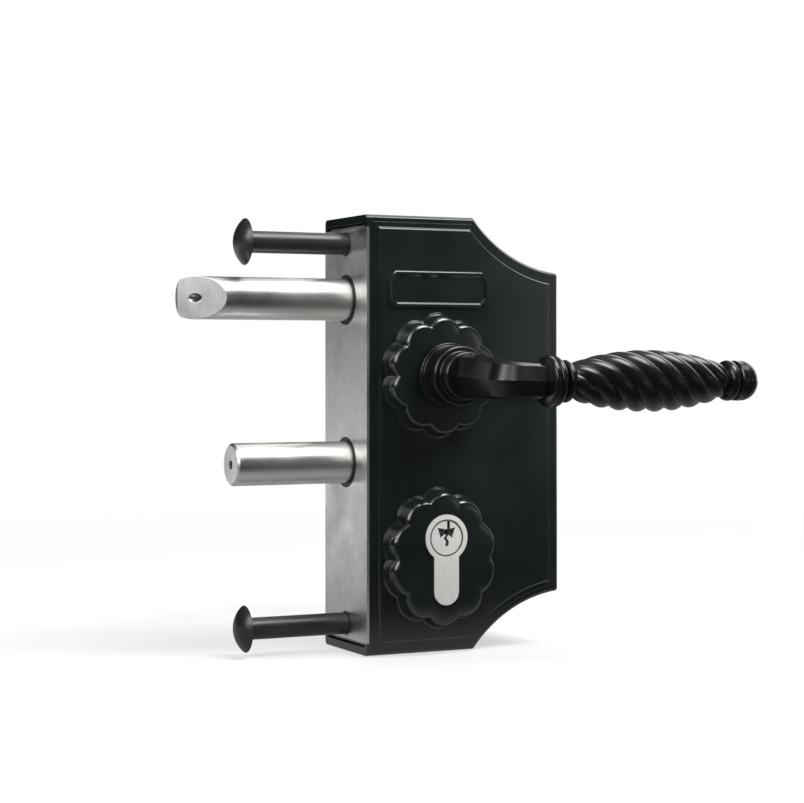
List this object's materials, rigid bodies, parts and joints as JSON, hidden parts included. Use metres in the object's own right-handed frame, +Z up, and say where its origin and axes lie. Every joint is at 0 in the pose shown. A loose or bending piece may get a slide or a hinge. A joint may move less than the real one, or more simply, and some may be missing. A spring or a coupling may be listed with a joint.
{
  "type": "gate lock",
  "caption": "Surface-mounted gate lock for a square stile: sprung latch, throw bolt worked by a profile cylinder, scooped case, lobed rosettes and twisted lever handles on both sides",
  "frame": {"origin": "centre of the face that lies against the gate stile, at mid-height of the case", "axes": "+X away from the stile across the gate, along the lever grips; -Y is the front, where the pictured lever is; +Z is up"},
  "size_m": [0.1932, 0.1718, 0.16],
  "materials": {
    "case_coat": "gloss powder coat",
    "lever_coat": "satin powder coat",
    "stainless": "brushed",
    "zinc_steel": "zinc plated",
    "nickel": "satin nickel",
    "cam_steel": "sintered",
    "bush_nylon": "moulded nylon",
    "black_steel": "black zinc"
  },
  "bodies": {
    "case": {"front_case": "case_coat", "back_case": "case_coat", "case_screws": "stainless", "mounting_plate": "stainless", "frame_web": "zinc_steel", "front_frame_plate": "zinc_steel", "back_frame_plate": "zinc_steel", "spring_bracket": "zinc_steel", "front_lever_rosette": "case_coat", "back_lever_rosette": "case_coat", "front_cylinder_rosette": "case_coat", "back_cylinder_rosette": "case_coat", "front_lever_bush": "bush_nylon", "back_lever_bush": "bush_nylon", "latch_spring": "stainless", "latch_guide_bush": "bush_nylon", "dead_bolt_guide_bush": "bush_nylon", "cylinder_body": "nickel", "cylinder_fixing_screw": "zinc_steel", "stile_fixing_bolts": "black_steel", "fixing_nuts": "zinc_steel"},
    "lever_set": {"front_lever": "lever_coat", "back_lever": "lever_coat", "spindle": "zinc_steel", "lever_set_screws": "black_steel", "follower": "zinc_steel"},
    "latch": {"latch_bolt": "stainless", "latch_stud": "zinc_steel", "latch_carriage": "zinc_steel"},
    "key_train": {"front_plug": "nickel", "back_plug": "nickel", "cylinder_cam": "cam_steel", "cylinder_coupling": "cam_steel"},
    "dead_bolt_set": {"dead_bolt": "stainless", "dead_bolt_stud": "zinc_steel", "dead_bolt_carriage": "zinc_steel"}
  },
  "joints": [
    {"name": "lever_turn", "type": "hinge", "parent": "case", "child": "lever_set", "pos_m": [0.028, 0, 0.0215], "axis": [0, 1, 0], "range_deg": [0, 45], "stiffness_Nm_per_rad": 1, "springref_deg": -28.65},
    {"name": "latch_slide", "type": "slide", "parent": "case", "child": "latch", "axis": [1, 0, 0], "range_m": [0, 0.02145], "deforming": ["latch_spring"]},
    {"name": "dead_bolt_slide", "type": "slide", "parent": "case", "child": "dead_bolt_set", "axis": [-1, 0, 0], "range_m": [0, 0.02]},
    {"name": "key_turn", "type": "hinge", "parent": "case", "child": "key_train", "pos_m": [0.028, 0, -0.0375], "axis": [0, -1, 0], "range_deg": [0, 110.2]}
  ],
  "couplings": [
    {"joint": "latch_slide", "follows": "lever_turn", "m_per_rad": 0.027286},
    {"joint": "key_turn", "follows": "dead_bolt_slide", "rad_per_m": 95.993}
  ]
}
